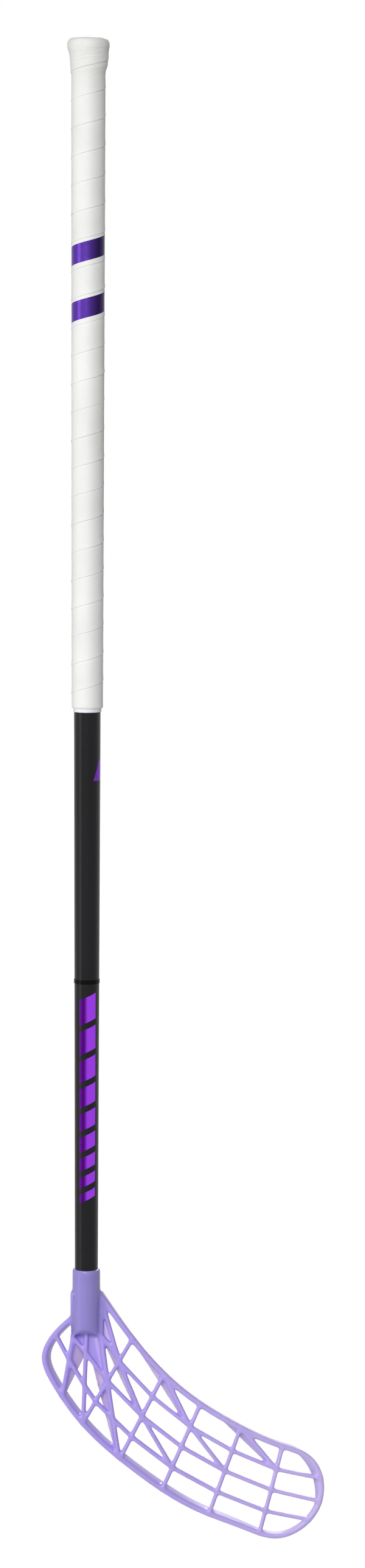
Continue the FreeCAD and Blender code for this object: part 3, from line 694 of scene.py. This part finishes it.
def relaxed(points, quads):
    """Mesh points, moved half way to the mean of their neighbours."""
    total = np.zeros_like(points)
    count = np.zeros(len(points))
    for side in range(4):
        for here, there in ((side, side - 1), (side - 1, side)):
            count += np.bincount(quads[:, here], minlength=len(points))
            for axis in range(3):
                others = points[quads[:, there], axis]
                total[:, axis] += np.bincount(quads[:, here], others, len(points))
    return (points + total / count[:, None]) / 2


def make_blade(material):
    """The whole moulding as one mesh."""
    plan = BladePlan()
    names = plan.nodes
    axes = [np.arange(start, end, CELL) for start, end in zip(GRID_LOW, GRID_HIGH)]
    along, across = np.meshgrid(axes[0], axes[1], indexing="ij")
    rim_points = flatten(plan.middle)
    rim_plan = np.full_like(along, FAR)
    for start, end in zip(rim_points, rim_points[1:]):
        rim_plan = np.minimum(rim_plan, segment_distance(along, across, start, end))
    rib_plan = np.full_like(along, FAR)
    for chain in CHAINS:
        for start, end in zip(chain, chain[1:]):
            ends = flatten(np.array((names[start], names[end])))
            rib_plan = blended(rib_plan, segment_distance(along, across, *ends), RIB_FILLET)
    stem_ends = flatten(np.array((names["stem_left"], names["left_foot"])))
    stem_plan = segment_distance(along, across, *stem_ends)
    gusset = [(SOCKET_RADIUS / 2, -SCREW_DROP), names["gusset_foot"], names["K"], names["right_foot"]]
    scoop_end = mix(names["A2"], names["right_foot"], SCOOP_PANEL_END)
    scoop_panel = [names["middle_foot"], names["right_foot"], scoop_end, names["H3"]]
    corner_panel = [names["left_foot"], names["middle_foot"], names["H3"]]
    panel_plan = np.minimum.reduce([
        polygon_distance(along, across, flatten(np.array(corners)))
        for corners in (gusset, scoop_panel, corner_panel)
    ])
    outline = inside_distance(along, across, flatten(plan.edge))

    depth = axes[2][None, None, :]
    rim = rounded_both(rim_plan[..., None] - RIM_WIDTH / 2, slab(depth, 0, RIM_DEPTH), RIM_ROUNDING)
    # The stem stands proud beside the socket and falls back to the ribs' front at its foot
    drop = BEND_LEVEL + along * math.sin(BLADE_SLOPE) - across * math.cos(BLADE_SLOPE)
    stem_front = np.interp(drop, (STEM_TOP, SCOOP_START), (STEM_FRONT, 0.0))[..., None]
    stem_layer = slab(depth, stem_front, RIM_DEPTH)
    stem = rounded_both(stem_plan[..., None] - STEM_WIDTH / 2, stem_layer, STEM_ROUNDING)
    rib_layer = slab(depth, RIB_RECESS, RIB_RECESS + RIB_DEPTH)
    ribs = rounded_both(rib_plan[..., None] - RIB_WIDTH / 2, rib_layer, RIB_ROUNDING)
    panel_layer = slab(depth, RIB_DEPTH - PANEL_THICKNESS / 2, RIB_DEPTH + PANEL_THICKNESS / 2)
    panels = np.maximum(panel_plan[..., None], panel_layer)
    grid = np.broadcast_arrays(along[..., None], across[..., None], depth)
    lattice = blended(ribs, panels, PANEL_FILLET)
    for web in WEBS:
        web_field(axes, plan, web, lattice)
    lattice = np.maximum(lattice, outline[..., None])
    x, y, z = bend(*grid)
    field = blended(blended(rim, stem, STEM_FILLET), lattice, LATTICE_FILLET)
    fillet = np.where(x < -SOCKET_RADIUS / 2, LEFT_FILLET, SOCKET_FILLET)
    field = blended(field, socket_field(x, y, z), fillet)
    field = np.maximum(field, -bore_field(x, y, z))
    points, quads = surface_net(softened(field), GRID_LOW, CELL)
    points = relaxed(points, quads)
    places = np.stack(bend(points[:, 0], points[:, 1], points[:, 2]), axis=1)
    blade = new_piece("blade_moulding", places, quads.tolist(), material)
    pocket = polygon_distance(points[:, 0], points[:, 1], flatten(np.array(gusset)))
    webs = np.min([patch_distance(points, web_corners(plan, web)) for web in WEBS], axis=0)
    # Painted light and shade for the plastic's colour: a share per point, dark on the socket over the
    # shaft and pale on the walls behind the ribs
    backlight_layer = blade.data.attributes.new("painted_backlight", "FLOAT", "POINT")
    backlight_layer.data.foreach_set("value", painted_backlight(places, points, pocket, webs))
    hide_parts("blade")


def painted_backlight(places, points, pocket, webs):
    """Painted backlight: 0, painted shade, on the socket over the shaft, a half on the ribs' front, and 1,
    painted light, on the thinner walls behind them.
    """
    around = np.hypot(places[:, 0], places[:, 1]) - SOCKET_RADIUS
    # The gusset on the socket's right is thick, so its painted light grows only slowly
    in_gusset = (places[:, 0] > 0) & (places[:, 2] > MOUTH - SCOOP_START - RIB_DEPTH)
    aside = np.clip((around - SKIN) / np.where(in_gusset, GUSSET_FADE, SKIN_FADE), 0, 1)
    near = np.clip((around - SKIN) / SKIN_FADE, 0, 1)
    below = np.interp(MOUTH - places[:, 2], SHAFT_TIP_FADE, (0, 1))
    # Painted light on the rim walls grows slowly and most at the toe, on the webs and the closed pocket
    # beside the socket fast
    depth = points[:, 2]
    walls = np.interp(depth, WALL_FADE, (0, 1)) * np.clip(around / WALL_CLEAR, WALL_LEAST, 1)
    walls *= np.interp(points[:, 0], TOE_SPAN, TOE_PALENESS)
    in_web = np.clip(WEB_REACH - webs, 0, 1) * np.interp(depth, WEB_FADE, (0, 1))
    in_pocket = np.clip(-pocket, 0, 1) * np.interp(depth, POCKET_FADE, (0, POCKET_MOST))
    behind = np.maximum.reduce([walls, in_web, in_pocket])
    return 0.5 * np.maximum(aside, below) * (1 - behind) + np.maximum(near, below) * behind


def inside_distance(along, across, edge):
    """Distance to the inside of the blade's outline, negative inside."""
    result = np.full_like(along, FAR)
    crossings = np.zeros(along.shape, int)
    for start, end in zip(edge, np.roll(edge, -1, axis=0)):
        result = np.minimum(result, segment_distance(along, across, start, end))
        rises = (start[1] > across) != (end[1] > across)
        lift = end[1] - start[1]
        slant = (end[0] - start[0]) / (lift if abs(lift) > TINY else TINY)
        meets = start[0] + (across - start[1]) * slant
        crossings += rises & (along < meets)
    return np.where(crossings % 2 == 1, -result, result)


# Grip: one strip of soft tape, wound with each turn over the edge of the turn below

STEPS_PER_TURN = 72
TAPE_OVER_SHAFT = 1.78
TAPE_ROUNDING = 1.3
# Height of the tape across one turn, from its raised lower edge up to the next edge: share, millimetres
TAPE_PROFILE = (
    (0.0, 0.02), (0.004, 0.17), (0.014, 0.25), (0.035, 0.25), (0.07, 0.2), (0.11, 0.13), (0.15, 0.08),
    (0.19, 0.05), (0.24, 0.02), (0.3, 0.0), (0.36, 0.0), (0.42, 0.0), (0.48, 0.0), (0.54, 0.0), (0.6, 0.0),
    (0.66, 0.01), (0.72, 0.02), (0.78, 0.03), (0.83, 0.04), (0.88, 0.04), (0.94, 0.01), (0.975, -0.05),
    (0.99, -0.1), (1.0, -0.13),
)
# The tape's stretched end on the knob's right side: depths where it bulges, and by how much
BULGE_DEPTHS = (9.0, 14.0, 22.0, 25.5)
BULGE = 0.8
# The tape's steps flatten out over the last millimetres of the grip and towards the knob's top
END_FADE, KNOB_FADE, LEAST_STEP = 5.0, (2.0, 16.0), 0.12
# How unevenly the tape was pulled, as waves along it: strength, speed and start
PULL_WAVES = ((0.25, 0.37, 0.4), (0.15, 1.31, 0.0))
# The foil print: shares across the strip, turns that carry it counted from the knob, and its span in turns
FOIL_SHARES = (0.19, 0.88)
FOIL_TURNS = (6, 8)
FOIL_SPAN = (-0.6, 0.1)
KNOB_FOOT, BODY_START = 32.0, 37.0
KNOB_STEPS, BODY_STEPS, ROUND_STEPS = 12, 60, 6
# The knob's outer section, from the hole at the top down to the straight grip: radius, height
KNOB_SECTION = (
    (10.9, -0.7), (12.6, -0.85), (14.4, -1.7), (15.7, -3.5), (16.25, -6.0), (15.9, -9.0), (15.0, -12.0),
    (14.45, -15.5), (14.05, -20.0), (13.5, -25.0), (13.05, -29.0),
)


def grip_section():
    """The grip's outer section as depth along the tape, radius and height, with a rounded lower end."""
    foot = (float(shaft_radius(KNOB_FOOT)) + TAPE_OVER_SHAFT, -KNOB_FOOT)
    knob = natural_spline(KNOB_SECTION + (foot,), KNOB_STEPS)
    runs = np.linalg.norm(np.diff(knob, axis=0), axis=1)
    depths = KNOB_FOOT - np.concatenate((np.cumsum(runs[::-1])[::-1], [0.0]))
    round_start = GRIP_END - TAPE_ROUNDING
    straight = np.linspace(BODY_START, round_start, BODY_STEPS)
    body = np.stack((shaft_radius(straight) + TAPE_OVER_SHAFT, -straight), axis=1)
    turn = np.linspace(0, math.pi / 2, ROUND_STEPS)[1:]
    end_radius = float(shaft_radius(GRIP_END)) + TAPE_OVER_SHAFT - TAPE_ROUNDING
    rounding = np.stack((
        end_radius + TAPE_ROUNDING * np.cos(turn),
        -round_start - TAPE_ROUNDING * np.sin(turn),
    ), axis=1)
    section = np.vstack((knob, body, rounding))
    depths = np.concatenate((depths, straight, round_start + TAPE_ROUNDING * turn))
    return depths, section


def make_grip(tape, foil):
    """The wound tape over the knob and down the handle."""
    depths, section = grip_section()
    normals = np.gradient(section, axis=0)
    normals = np.stack((-normals[:, 1], normals[:, 0]), axis=1)
    normals /= np.linalg.norm(normals, axis=1)[:, None]
    lowest_turn = math.ceil((GRIP_END - FIRST_SEAM) / PITCH) + 1
    start_depth = FIRST_SEAM + lowest_turn * PITCH
    turns = math.ceil((start_depth - depths[0]) / PITCH) + 1
    steps = turns * STEPS_PER_TURN
    shares = np.array([share for share, _ in TAPE_PROFILE])
    lifts = np.array([lift for _, lift in TAPE_PROFILE])
    step = np.arange(steps + 1)
    angle = step * 2 * math.pi / STEPS_PER_TURN
    raw = start_depth - PITCH * (step[:, None] / STEPS_PER_TURN + shares[None, :])
    depth = np.clip(raw, depths[0], depths[-1])
    radius = np.interp(depth, depths, section[:, 0])
    height = np.interp(depth, depths, section[:, 1])
    out = np.interp(depth, depths, normals[:, 0])
    up = np.interp(depth, depths, normals[:, 1])
    knob_fade = np.maximum(np.interp(depth, KNOB_FADE, (0, 1)), LEAST_STEP)
    fade = np.clip((depths[-1] - depth) / END_FADE, 0, 1) * knob_fade
    pull = 1 + sum(strength * np.sin(angle * speed + start) for strength, speed, start in PULL_WAVES)
    lift = lifts[None, :] * fade * pull[:, None]
    right_side = np.clip(np.cos(angle), 0, 1)[:, None]
    lift = lift + BULGE * right_side * np.interp(depth, BULGE_DEPTHS, (0, 1, 1, 0))
    radius = radius + lift * out
    height = height + lift * up
    points = np.stack((radius * np.cos(angle)[:, None], radius * np.sin(angle)[:, None], height), axis=-1)
    columns = len(shares)
    faces = []
    foil_faces = []
    for i in range(steps):
        here = i * columns
        ahead = here + columns
        for j in range(columns - 1):
            if np.ptp(depth[i:i + 2, j:j + 2]) < SMALL:
                continue
            faces.append((here + j, ahead + j, ahead + j + 1, here + j + 1))
            foil_faces.append(is_foil(i, shares[j], lowest_turn))
        # The lip under the next turn's edge
        above = (i + STEPS_PER_TURN) * columns
        if i + STEPS_PER_TURN < steps and depths[0] < raw[i, -1] < depths[-1]:
            faces.append((here + columns - 1, ahead + columns - 1, above + columns, above))
            foil_faces.append(False)
    grip = new_piece("grip_wrap", points.reshape(-1, 3), faces, tape, foil)
    for polygon, shiny in zip(grip.data.polygons, foil_faces):
        polygon.material_index = int(shiny)
    merge_points(grip.data)
    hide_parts("grip_tape")


def is_foil(step, share, lowest_turn):
    """Whether a patch of the strip carries the foil print."""
    if not FOIL_SHARES[0] - SMALL <= share < FOIL_SHARES[1] - SMALL:
        return False
    turn = step / STEPS_PER_TURN
    return any(FOIL_SPAN[0] <= turn - (lowest_turn - low) <= FOIL_SPAN[1] for low in FOIL_TURNS)


# Printed stripes on the shaft

PRINT_LIFT = 0.05
PATCH_ROWS = 5
BAR_COUNT, BAR_GAP, BAR_STEPS = 9, 5.0, 13
BAR_WEIGHTS = (1.5, 0.5)
BAR_TOP, BAR_BOTTOM = 736.0, 903.0
BAR_SIDES = (-34.0, 46.0)
BAR_SLANT = 6.0
# The wedge's sides in degrees from the front, the turn that its slanted side takes, and its depths
WEDGE_SIDES = (29.0, 114.0)
WEDGE_RUN, WEDGE_STEPS = 34.0, 18
WEDGE_TOP, WEDGE_LOW = 553.3, 569.9


def shaft_patch(name, outlines, material):
    """Thin printed patches on the shaft, from rows of angle from the front, top depth and low depth."""
    points = []
    faces = []
    for outline in outlines:
        base = len(points)
        for angle, top, low in outline:
            for depth in np.linspace(top, low, PATCH_ROWS):
                radius = float(shaft_radius(depth)) + PRINT_LIFT
                turn = math.radians(angle - 90)
                points.append((radius * math.cos(turn), radius * math.sin(turn), -depth))
        for i in range(len(outline) - 1):
            for j in range(PATCH_ROWS - 1):
                here = base + i * PATCH_ROWS + j
                ahead = here + PATCH_ROWS
                faces.append((here, here + 1, ahead + 1, ahead))
    patch = new_piece(name, points, faces, material)
    merge_points(patch.data)


def make_prints(bar_foil, wedge_foil):
    """Slanted bars that get slimmer down the lower shaft, and one wedge below the grip."""
    weights = np.linspace(*BAR_WEIGHTS, BAR_COUNT)
    heights = weights / weights.sum() * (BAR_BOTTOM - BAR_TOP - BAR_SLANT - BAR_GAP * (BAR_COUNT - 1))
    angles = np.linspace(*BAR_SIDES, BAR_STEPS)
    rises = np.linspace(0, BAR_SLANT, BAR_STEPS)
    bars = []
    top = BAR_TOP + BAR_SLANT
    for height in heights:
        bars.append([(angle, top - rise, top - rise + height) for angle, rise in zip(angles, rises)])
        top += height + BAR_GAP
    wedge_angles = np.linspace(*WEDGE_SIDES, WEDGE_STEPS)
    wedge_rise = (WEDGE_LOW - WEDGE_TOP) / WEDGE_RUN
    wedge = [
        (angle, max(WEDGE_TOP, WEDGE_LOW - (angle - WEDGE_SIDES[0]) * wedge_rise), WEDGE_LOW)
        for angle in wedge_angles
    ]
    shaft_patch("shaft_bars", bars, bar_foil)
    shaft_patch("shaft_wedge", [wedge], wedge_foil)


# Camera, floor and light

IMAGE_HEIGHT = 2576
FOCAL_PIXELS = 6976
CAMERA_PLACE = Vector((74.13, -3280.39, -213.61)) * MM
CAMERA_TILT = math.radians(6.25)
CAMERA_ROLL = 0.0042
SENSOR_SIZE = 36.0
FLOOR_LEVEL, FLOOR_REACH, FLOOR_GREY = -2.0, 8.0, 0.8
SKY_STRENGTH = 0.08
# Lamps that point at the stick's middle: name, place and size in metres, and power in watts
STICK_MIDDLE = Vector((0.0, 0.0, -0.6))
LAMPS = (
    ("front", (-1.6, -7.55, 3.9), (3.5, 3.5), 572),
    ("back", (1.0, 7.3, 3.2), (3.5, 3.5), 330),
    ("left", (-1.16, -0.58, -0.55), (0.3, 1.8), 4.8),
    ("rim", (1.5, 0.5, -0.4), (0.2, 2.2), 0.9),
)


def make_camera():
    """A long lens far in front of the stick, looking a little down."""
    data = bpy.data.cameras.new("camera")
    data.sensor_width = SENSOR_SIZE
    data.lens = FOCAL_PIXELS / IMAGE_HEIGHT * data.sensor_width
    camera = bpy.data.objects.new("camera", data)
    bpy.context.scene.collection.objects.link(camera)
    aim = Matrix.Rotation(math.pi / 2 - CAMERA_TILT, 4, "X") @ Matrix.Rotation(CAMERA_ROLL, 4, "Z")
    camera.matrix_world = Matrix.Translation(CAMERA_PLACE) @ aim
    bpy.context.scene.camera = camera


def white_to_camera(tree, shaded, output):
    """Plain white to the camera, in reflections and through surfaces, and a shader for all other light."""
    path = tree.nodes.new("ShaderNodeLightPath")
    seen = tree.nodes.new("ShaderNodeMath")
    seen.operation = "MAXIMUM"
    tree.links.new(path.outputs["Is Camera Ray"], seen.inputs[0])
    through = tree.nodes.new("ShaderNodeMath")
    through.operation = "MAXIMUM"
    tree.links.new(path.outputs["Is Transmission Ray"], through.inputs[0])
    tree.links.new(path.outputs["Is Glossy Ray"], through.inputs[1])
    tree.links.new(through.outputs["Value"], seen.inputs[1])
    on_surface = output.bl_idname == "ShaderNodeOutputMaterial"
    white = tree.nodes.new("ShaderNodeEmission" if on_surface else "ShaderNodeBackground")
    white.inputs["Color"].default_value = (1, 1, 1, 1)
    white.inputs["Strength"].default_value = 1.0
    blend = tree.nodes.new("ShaderNodeMixShader")
    tree.links.new(seen.outputs["Value"], blend.inputs["Fac"])
    tree.links.new(shaded, blend.inputs[1])
    tree.links.new(white.outputs[0], blend.inputs[2])
    tree.links.new(blend.outputs["Shader"], output.inputs["Surface"])


def make_stage():
    """A wide white floor below the stick."""
    material = bpy.data.materials.new("floor_white")
    material.use_nodes = True
    tree = material.node_tree
    tree.nodes.clear()
    shaded = tree.nodes.new("ShaderNodeBsdfDiffuse")
    shaded.inputs["Color"].default_value = (FLOOR_GREY, FLOOR_GREY, FLOOR_GREY, 1)
    white_to_camera(tree, shaded.outputs["BSDF"], tree.nodes.new("ShaderNodeOutputMaterial"))
    sides = ((-1, -1), (1, -1), (1, 1), (-1, 1))
    corners = [(x * FLOOR_REACH, y * FLOOR_REACH, FLOOR_LEVEL) for x, y in sides]
    mesh = bpy.data.meshes.new("floor")
    mesh.from_pydata(corners, [], [(0, 1, 2, 3)])
    mesh.materials.append(material)
    floor = bpy.data.objects.new("floor", mesh)
    bpy.context.scene.collection.objects.link(floor)


def add_lamp(name, place, size, power):
    """A soft rectangular lamp that points at the stick."""
    data = bpy.data.lights.new(name, "AREA")
    data.shape = "RECTANGLE"
    data.size, data.size_y = size
    data.energy = power
    lamp = bpy.data.objects.new(name, data)
    lamp.location = place
    lamp.rotation_euler = (STICK_MIDDLE - Vector(place)).to_track_quat("-Z", "Y").to_euler()
    bpy.context.scene.collection.objects.link(lamp)


def make_light():
    """Large soft lamps high in front and behind, slim ones from both sides, and weak sky light."""
    for lamp in LAMPS:
        add_lamp(*lamp)
    world = bpy.data.worlds.new("sky")
    bpy.context.scene.world = world
    world.use_nodes = True
    tree = world.node_tree
    tree.nodes.clear()
    sky = tree.nodes.new("ShaderNodeBackground")
    sky.inputs["Color"].default_value = (1, 1, 1, 1)
    sky.inputs["Strength"].default_value = SKY_STRENGTH
    white_to_camera(tree, sky.outputs["Background"], tree.nodes.new("ShaderNodeOutputWorld"))


# Painted reflections: the shaft's foil dark on the left and bright on the right, the tape's bright on the
# left and dark on the right, and the wedge's painted a little darker towards the right
shaft_foil = purple_foil("shaft_foil", srgb(75, 14, 112), srgb(152, 60, 222), (-1.5, 1))
wedge_foil = purple_foil("wedge_foil", srgb(112, 52, 166), srgb(92, 38, 142), (4, 11))
tape_foil = purple_foil("tape_foil", srgb(86, 54, 150), srgb(38, 23, 70), (-2, 8))
paint_node("shaft", shaft_composite())
paint_node("butt_cap", cap_plastic())
paint_node("finishing_tape", plain_tape())
paint_node("shaft_ring", ring_film())
paint_node("blade_screw", plated_steel())
make_blade(lilac_plastic())
make_grip(grip_leather(), tape_foil)
make_prints(shaft_foil, wedge_foil)
make_camera()
make_stage()
make_light()
bpy.context.scene.view_settings.view_transform = "Standard"
